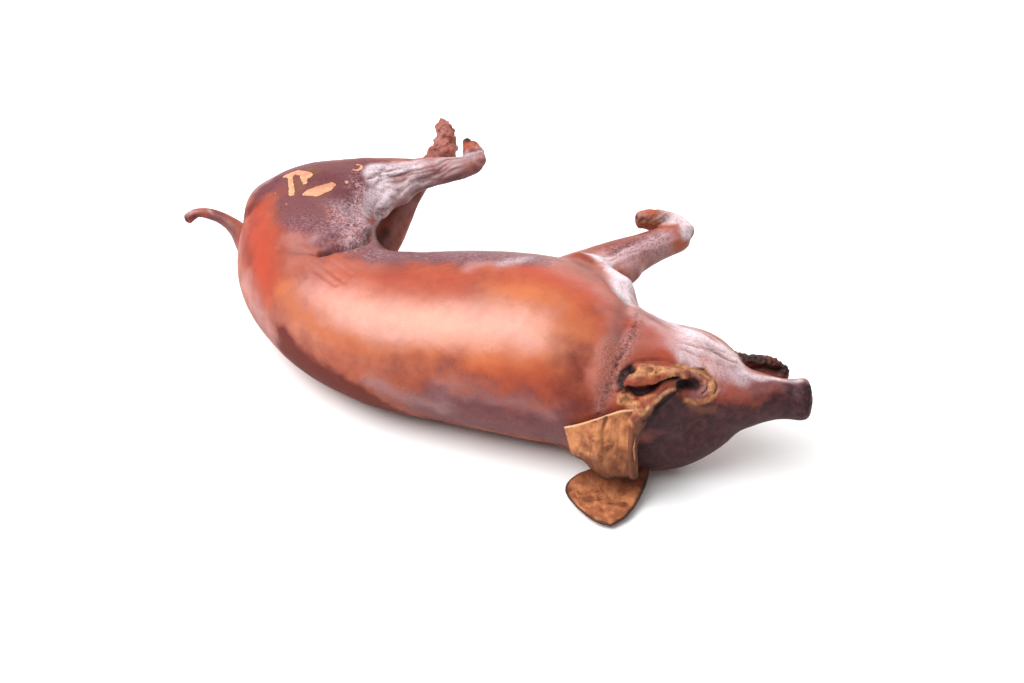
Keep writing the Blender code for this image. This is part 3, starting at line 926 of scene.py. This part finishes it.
# Spots where the skin has peeled off the pale flesh, on the ham.
PEELED = [
    (1.0, 5.5, (-213, 117, 135), (-204, 120, 139), (-190, 114, 141)),
    (1.0, 3.6, (-209, 113, 137), (-205, 98, 136), (-201, 88, 135)),
    (1.0, 3.6, (-196, 111, 140), (-192, 104, 139)),
    (1.0, 4.2, (-187, 88, 136), (-177, 91, 136), (-169, 99, 137)),
    (1.0, 4.2, (-185, 93, 136), (-176, 99, 137), (-166, 106, 138)),
    (0.9, 1.8, (-153, 133, 140), (-149, 134, 140), (-146, 139, 140), (-147, 143, 141), (-152, 143, 141)),
    (0.85, 3, (-155, 116, 137)),
    (0.9, 1.6, (-217, 89, 132), (-214, 84, 131)),
    (0.85, 1.7, (-200, 73, 133)),
    (0.85, 1.5, (-189, 74, 135)),
]
COLOURS = {
    "dusk": (DUSK, wandering),
    "ember": (EMBER, wandering),
    "gold_and_painted_highlight": (GOLD_AND_PAINTED_HIGHLIGHT, wandering),
    "wine_and_painted_shade": (WINE_AND_PAINTED_SHADE, wandering),
    "soot_and_painted_shade": (SOOT_AND_PAINTED_SHADE, wandering),
    "fat_film_and_painted_sheen": (FAT_FILM_AND_PAINTED_SHEEN, wandering),
    "bloom_and_painted_sheen": (BLOOM_AND_PAINTED_SHEEN, resting + drift * 0.5),
    "frost": (FROST, wandering),
    "gloss": (GLOSS, wandering),
    "cracked": (CRACKED, resting + drift * 0.6),
    "tan": (TAN, wobbling),
    "brown": (BROWN, wobbling),
    "char_and_painted_shade": (CHAR_AND_PAINTED_SHADE, wobbling),
    "peeled": (PEELED, resting + drift * 0.25),
}


def painted(strokes, where):
    """How much of a colour lies at each place, from 0 to 1."""
    bare = np.ones(len(where))
    for strength, width, *path in strokes:
        bare *= 1 - np.clip(strength * nearness(where, width, path), 0, 1)
    return 1 - bare


masks = {name: painted(strokes, where) for name, (strokes, where) in COLOURS.items()}
# Painted shade: the deeper a crease sinks the skin, the darker it is coloured.
masks["hollow"] = np.clip((sunk - 1.5) / 4, 0, 1)
masks["ridge"] = np.clip(0.5 - 0.55 * wrinkle, 0, 1)

# The skin is hung on the solid in strips from rump to snout, each of one mesh, that meet edge to edge.
STRIPS = {
    "skin_hindquarters": (-1e6, -138),
    "skin_loin": (-138, -14),
    "skin_shoulders": (-14, 118),
    "skin_head": (118, 1e6),
}
skin.data.vertices.foreach_set("co", (places * MM).ravel())
skin.data.update()
normals = of_each_vertex(skin.data, "normal")
corners = np.empty(len(skin.data.loops), np.int32)
skin.data.loops.foreach_get("vertex_index", corners)
quads = corners.reshape(-1, 4)
middles = places[quads].mean(axis=1)[:, 0]


def stored(mesh, label, values):
    """Keeps a number for each vertex, which the material reads by this label."""
    mesh.attributes.new(label, "FLOAT", "POINT").data.foreach_set("value", values.astype(np.float32))


def hung(name, mesh):
    """A finished piece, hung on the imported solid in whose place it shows."""
    piece = bpy.data.objects.new(name, mesh)
    piece.location = BELOW_BACK
    bpy.context.scene.collection.objects.link(piece)
    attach(piece, "root")
    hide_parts("suckling_pig")


def strip(name, start, end, smoked):
    """The part of the skin between two places along the pig, as one piece."""
    chosen = quads[(middles >= start) & (middles < end)]
    used, index = np.unique(chosen, return_inverse=True)
    mesh = bpy.data.meshes.new(name)
    mesh.vertices.add(len(used))
    mesh.vertices.foreach_set("co", (places[used] * MM).ravel())
    mesh.loops.add(chosen.size)
    mesh.loops.foreach_set("vertex_index", index.astype(np.int32).ravel())
    mesh.polygons.add(len(chosen))
    mesh.polygons.foreach_set("loop_start", np.arange(0, chosen.size, 4, dtype=np.int32))
    mesh.update(calc_edges=True)
    mesh.polygons.foreach_set("use_smooth", np.ones(len(chosen), bool))
    for label, mask in masks.items():
        stored(mesh, label, mask[used])
    mesh.normals_split_custom_set_from_vertices(normals[used])
    mesh.materials.append(smoked)
    hung(name, mesh)


def cloud(where, scale, detail, roughness=0.55, distortion=0.0):
    """Random cloudy patches, this many to a metre."""
    sockets = {"Vector": where, "Scale": scale, "Detail": detail, "Roughness": roughness}
    return where.finish.node("TexNoise", {}, {**sockets, "Distortion": distortion})


def amount(finish, label):
    """The number that each vertex keeps under this label."""
    return finish.node("Attribute", {"attribute_name": label}, {}, output=2)


def smoked_skin(finish):
    """Tight, greasy skin: orange and mahogany, darker from the smoke, with dull cracks and peeled spots, and
    painted shade and sheen.
    """
    where = finish.node("TexCoord", output="Object")

    def mask(label):
        return amount(finish, label)

    blotch = cloud(where, 16, 4)
    mottle = cloud(where, 70, 5, 0.6, 0.4)
    grain = cloud(where, 420, 3, 0.6)
    flecks = cloud(where, 380, 3, 0.6, 0.6)
    pores = cloud(where, 560, 2, 0.5)
    streak = cloud(where, 150, 4, 0.65)

    base = finish.mixed(blotch.between(0.3, 0.7), (0.19, 0.033, 0.018), (0.31, 0.066, 0.027))
    base = finish.mixed(mottle.between(0.4, 0.75) * 0.5, base, (0.13, 0.022, 0.014))
    vein = abs(cloud(where, 34, 4, 0.6, 0.8) - 0.5)
    vein = (1 - vein.between(0.002, 0.016)) * blotch.between(0.4, 0.6)
    ember = mask("ember") * (0.65 + 0.35 * mottle)
    base = finish.mixed(ember, base, (0.33, 0.036, 0.013))
    # Orange, which round the flank's highlight is partly a painted highlight.
    gold_and_painted_highlight = mask("gold_and_painted_highlight") * (0.35 + 0.65 * blotch)
    base = finish.mixed(gold_and_painted_highlight * 0.85, base, (0.45, 0.125, 0.036))
    # Dark red-brown, partly painted shade low on the flank and under the thighs.
    wine_and_painted_shade = (mask("wine_and_painted_shade") * 1.1 * (0.6 + 0.8 * mottle)).between(0.1, 0.9)
    base = finish.mixed(wine_and_painted_shade * 0.9, base, (0.085, 0.011, 0.008))
    dusk = (mask("dusk") * 1.15 * (0.6 + 0.8 * mottle)).between(0.15, 0.95)
    base = finish.mixed(dusk * 0.88, base, (0.11, 0.034, 0.042))
    base = finish.mixed(dusk * pores.between(0.55, 0.66) * 0.55, base, (0.03, 0.01, 0.014))
    # Pale mauve film, partly painted sheen and painted light.
    fat_film_and_painted_sheen = (mask("fat_film_and_painted_sheen") * (0.55 + 0.9 * mottle)).between(0.1, 1.0)
    base = finish.mixed(fat_film_and_painted_sheen * 0.8, base, (0.4, 0.21, 0.2))
    frost = mask("frost") * flecks.between(0.45, 0.6)
    base = finish.mixed(frost * 0.85, base, (0.44, 0.29, 0.34))
    base = finish.mixed(mask("frost") * pores.between(0.54, 0.62) * 0.85, base, (0.04, 0.012, 0.018))
    # Near-black: soot, and painted shade under the head, below the ear and between the thighs.
    soot_and_painted_shade = (mask("soot_and_painted_shade") * 1.15 * (0.6 + 0.8 * mottle)).between(0.15, 0.95)
    soot_and_shade_colour = finish.mixed(streak.between(0.3, 0.7), (0.012, 0.004, 0.007), (0.055, 0.018, 0.022))
    soot_and_shade_colour = finish.mixed(mottle.between(0.4, 0.7) * 0.6, soot_and_shade_colour, (0.012, 0.005, 0.008))
    base = finish.mixed(soot_and_painted_shade * 0.93, base, soot_and_shade_colour)
    # Painted sheen: whitish colour standing in for the highlight on wet wrinkles, brightest on their ridges.
    bloom_and_painted_sheen = (mask("bloom_and_painted_sheen") * (0.2 + 0.45 * streak + 0.35 * flecks + 0.5 * mask("ridge"))).between(0.15, 0.95)
    base = finish.mixed(bloom_and_painted_sheen * 0.85, base, (0.6, 0.5, 0.54))
    base = finish.mixed(mask("bloom_and_painted_sheen") * pores.between(0.53, 0.64) * 0.45, base, (0.13, 0.045, 0.055))
    # Painted shade in the valleys between the wrinkles.
    painted_valley_shade = (1 - mask("ridge")).between(0.55, 0.95)
    base = finish.mixed(painted_valley_shade * 0.45, base, (0.09, 0.025, 0.022))
    base = finish.mixed(vein * 0.2, base, (0.05, 0.012, 0.01))
    base = finish.mixed(grain.between(0.6, 0.7) * flecks.between(0.5, 0.7) * 0.5, base, (0.04, 0.012, 0.012))
    jitter = finish.node("TexNoise", {}, {"Vector": where, "Scale": 300.0, "Detail": 2.0}, "Color")
    jitter = finish.node("VectorMath", {"operation": "SCALE"}, {0: jitter, "Scale": 0.004})
    shaken = finish.node("VectorMath", {"operation": "ADD"}, {0: where, 1: jitter})
    cells = {"feature": "DISTANCE_TO_EDGE"}
    cracks = finish.node("TexVoronoi", cells, {"Vector": shaken, "Scale": 360.0})
    dry = mask("cracked")
    crack = dry * (1 - cracks.between(0.02, 0.14)) * flecks.between(0.35, 0.6)
    base = finish.mixed(dry * (0.15 + 0.6 * grain), base, (0.36, 0.19, 0.18))
    base = finish.mixed(crack * 0.85, base, (0.05, 0.02, 0.02))
    brown = (mask("brown") * (0.6 + 0.8 * mottle)).between(0.15, 0.85)
    base = finish.mixed(brown * 0.85, base, finish.mixed(streak, (0.07, 0.025, 0.013), (0.2, 0.075, 0.035)))
    tan = (mask("tan") * (0.45 + 1.0 * mottle)).between(0.2, 0.75)
    lit_tan = finish.mixed(streak.between(0.35, 0.65), (0.2, 0.065, 0.026), (0.46, 0.21, 0.092))
    gristle = finish.mixed(mottle.between(0.5, 0.7) * 0.6, lit_tan, (0.17, 0.05, 0.028))
    base = finish.mixed(tan, base, gristle)
    # Painted shade in the deep creases.
    base = finish.mixed(mask("hollow") * 0.85, base, (0.03, 0.01, 0.01))
    # Black: burnt crust, and painted shade in slits, holes and folds.
    char_and_painted_shade = (mask("char_and_painted_shade") * (0.75 + 0.5 * mottle)).between(0.25, 0.85)
    base = finish.mixed(char_and_painted_shade * 0.95, base, finish.mixed(grain, (0.006, 0.003, 0.003), (0.035, 0.015, 0.014)))
    edge = mask("peeled") + (cloud(where, 300, 4, 0.7) - 0.5) * 0.7
    # A dark brown rim round each peeled spot: the skin's torn edge, with painted shadow under it.
    base = finish.mixed(edge.between(0.15, 0.5) * 0.6, base, (0.09, 0.032, 0.018))
    peel = edge.between(0.5, 0.62)
    flesh = finish.mixed(streak.between(0.35, 0.65), (0.4, 0.17, 0.11), (0.55, 0.27, 0.15))
    base = finish.mixed(peel, base, flesh)

    rough = 0.4 + 0.14 * mottle + 0.15 * dry + 0.15 * char_and_painted_shade + 0.15 * peel + 0.3 * (wine_and_painted_shade + soot_and_painted_shade * 0.6)
    relief = grain * 0.4 + mottle * 0.25 + streak * (0.15 + bloom_and_painted_sheen * 1.2) - crack * 1.6 - peel * 0.8
    relief = relief + flecks * 0.5 * (mask("frost") + tan + char_and_painted_shade)
    bump = finish.node("Bump", {}, {"Strength": 0.55, "Distance": 0.0011, "Height": relief})
    wet = mask("gloss") * (0.4 + 0.45 * grain + 0.3 * streak)
    coat = (0.04 + wet + 0.35 * bloom_and_painted_sheen) * (1 - 0.9 * wine_and_painted_shade)
    return {"Base_Color": base, "Roughness": rough, "Normal": bump, "Coat_Weight": coat}


GREASE = {"Coat_Roughness": 0.34, "Coat_IOR": 1.65}
skin_finish = material("smoked_skin", smoked_skin, **GREASE, Specular_IOR_Level=0.18)
for strip_name, (start, end) in STRIPS.items():
    strip(strip_name, start, end, skin_finish)
bpy.data.objects.remove(skin)


# ---- The ears ----
# Thin leaves of gristle and skin, dried to a light brown on the upper ear and a redder one on the ear
# that lies on the table, with a burnt rim. Rows run across the leaf, from its root to its free edge.
EAR_LEFT = [
    [(161, -117, 92), (147, -121, 91), (131, -124, 84), (114, -125, 75), (99, -121, 66)],
    [(163, -127, 76), (148, -126, 74), (132, -130, 70), (116, -128, 62), (103, -123, 55)],
    [(164, -132, 60), (149, -130, 57), (133, -134, 53), (119, -129, 47), (107, -124, 42)],
    [(166, -137, 36), (152, -133, 30), (138, -133, 27), (125, -126, 30), (113, -122, 38)],
]
EAR_RIGHT = [
    [(177, -84, 38), (166, -82, 34), (154, -80, 30), (142, -80, 27)],
    [(173, -103, 20), (158, -100, 16), (142, -98, 13), (126, -99, 12)],
    [(171, -121, 11), (150, -113, 8), (130, -111, 8), (110, -114, 10)],
    [(167, -137, 8), (146, -132, 5), (125, -128, 5), (104, -128, 8)],
    [(161, -154, 6), (145, -150, 4), (128, -146, 4), (110, -143, 7)],
    [(150, -168, 5), (143, -167, 5), (136, -165, 5), (129, -161, 6)],
]
# Folds and ribs of the leaves: how deep, how wide, then the places that each runs through.
EAR_LEFT_FOLDS = [
    (2.4, 1.8, (136, -124, 84), (134, -130, 74), (136, -135, 58), (136, -136, 36)),
    (1.2, 2.6, (152, -125, 85), (156, -132, 65), (158, -136, 41)),
    (-1.0, 3, (128, -126, 76), (130, -132, 56), (131, -132, 34)),
    (-1.1, 2.5, (161, -120, 86), (163, -131, 62), (165, -137, 38)),
    (0.8, 3, (118, -127, 70), (122, -130, 52)),
]
EAR_RIGHT_FOLDS = [
    (1.0, 4, (158, -100, 16), (150, -125, 7), (146, -150, 5)),
    (-0.8, 4, (140, -100, 14), (132, -128, 6), (136, -155, 5)),
]


ROW_STEPS = 30
COLUMN_STEPS = 26
RIM_STEPS = 9


def ear(name, net, folds, thickness, dried):
    """A leaf that thins to its burnt rim, with ribs and folds pressed into it."""
    across = [smooth_rows(row, ROW_STEPS) for row in net]
    grid = np.array([smooth_rows(column, COLUMN_STEPS) for column in zip(*across)])
    tall, long = grid.shape[:2]
    along = np.gradient(grid, axis=0)
    down = np.gradient(grid, axis=1)
    facing = np.cross(along, down)
    facing /= np.linalg.norm(facing, axis=2, keepdims=True)
    flat = grid.reshape(-1, 3)
    press = np.zeros(len(flat))
    for depth, width, *path in folds:
        press += depth * nearness(flat, width, path)
    crumple = 0.7 * waves(flat, 9, 8) + 1.3 * waves(flat, 26, 9, 2)
    outward = facing.reshape(-1, 3)
    if outward[:, 1].mean() > 0.3 or outward[:, 2].mean() < -0.3:
        outward = -outward
    flat = flat + outward * (crumple - press)[:, None]
    i = np.arange(tall)[:, None] * np.ones(long)
    j = np.ones(tall)[:, None] * np.arange(long)
    inward = np.clip(np.minimum(np.minimum(tall - 1 - i, long - 1 - j), i) / RIM_STEPS, 0, 1).reshape(-1)
    half = thickness / 2 * (0.25 + 0.75 * np.sqrt(inward))
    front = flat + outward * half[:, None]
    back = flat - outward * half[:, None]
    total = tall * long
    index = np.arange(total).reshape(tall, long)
    top = np.stack([index[:-1, :-1], index[1:, :-1], index[1:, 1:], index[:-1, 1:]], axis=-1).reshape(-1, 4)
    faces = [tuple(q) for q in top] + [tuple(q[::-1] + total) for q in top]
    border = np.concatenate([index[:, 0], index[-1, 1:], index[::-1, -1][1:], index[0, ::-1][1:-1]])
    after = np.roll(border, -1)
    faces += [(a, b, b + total, a + total) for a, b in zip(border, after)]
    mesh = bpy.data.meshes.new(name)
    mesh.from_pydata((np.concatenate([front, back]) * MM).tolist(), [], [tuple(map(int, f)) for f in faces])
    bm = bmesh.new()
    bm.from_mesh(mesh)
    bmesh.ops.recalc_face_normals(bm, faces=bm.faces)
    bm.to_mesh(mesh)
    bm.free()
    low = (j / (long - 1)).reshape(-1)
    for label, values in (("rim", 1 - inward), ("fold", np.clip(press, 0, 2)), ("low", low)):
        stored(mesh, label, np.tile(values, 2))
    mesh.shade_smooth()
    mesh.materials.append(dried)
    hung(name, mesh)


def dried_ear(finish, pale, deep, scorch_and_shade, dark_end):
    """Dull dried skin with faint ribs, brown as painted shade in its folds, with a painted highlight along
    its root edge, burnt at the rim and dark towards one end.
    """
    where = finish.node("TexCoord", output="Object")
    rim = amount(finish, "rim")
    fold = amount(finish, "fold")
    low = amount(finish, "low")
    mottle = cloud(where, 90, 5, 0.6)
    blotch = cloud(where, 48, 4, 0.6, 0.5)
    stretched = finish.node("Mapping", {}, {"Vector": where, "Scale": (260.0, 60.0, 40.0)})
    fibres = finish.node("TexNoise", {}, {"Vector": stretched, "Scale": 1.0, "Detail": 4.0})
    base = finish.mixed(mottle.between(0.35, 0.65), pale, deep)
    base = finish.mixed(blotch.between(0.5, 0.64) * 0.85, base, scorch_and_shade)
    base = finish.mixed(fibres.between(0.5, 0.72) * 0.6, base, deep)
    # A painted highlight along the leaf's edge at its root.
    base = finish.mixed((1 - low).between(0.96, 0.995) * 0.8, base, (0.6, 0.34, 0.2))
    # Darker towards one end; on the lying leaf this is painted shadow under the upper ear.
    base = finish.mixed((low + 0.4 * (mottle - 0.5)).between(*dark_end) * 0.85, base, scorch_and_shade)
    # Painted shade: brown in the pressed folds.
    base = finish.mixed(fold.between(0.2, 1.8) * 0.8, base, (0.11, 0.034, 0.014))
    burnt = (rim + (mottle - 0.5) * 0.5).between(0.5, 0.9)
    base = finish.mixed(burnt * 0.92, base, (0.03, 0.014, 0.01))
    relief = mottle * 0.7 + fibres * 0.6 + blotch * 0.6
    bump = finish.node("Bump", {}, {"Strength": 0.8, "Distance": 0.0014, "Height": relief})
    return {"Base_Color": base, "Roughness": 0.45 + 0.2 * mottle, "Normal": bump}


def light_ear(finish):
    """The hanging leaf, scorched towards its free edge."""
    return dried_ear(finish, (0.46, 0.18, 0.074), (0.22, 0.066, 0.024), (0.09, 0.024, 0.011), (0.4, 1.0))


def red_ear(finish):
    """The lying leaf, darker towards its root, partly as painted shadow under the upper ear."""
    return dried_ear(finish, (0.42, 0.16, 0.066), (0.2, 0.058, 0.024), (0.1, 0.022, 0.011), (0.6, 0.3))


light_finish = material("dried_ear_light", light_ear, Specular_IOR_Level=0.2)
red_finish = material("dried_ear_red", red_ear, Specular_IOR_Level=0.2)
ear("ear_left", EAR_LEFT, EAR_LEFT_FOLDS, 3.2, light_finish)
ear("ear_right", EAR_RIGHT, EAR_RIGHT_FOLDS, 4, red_finish)
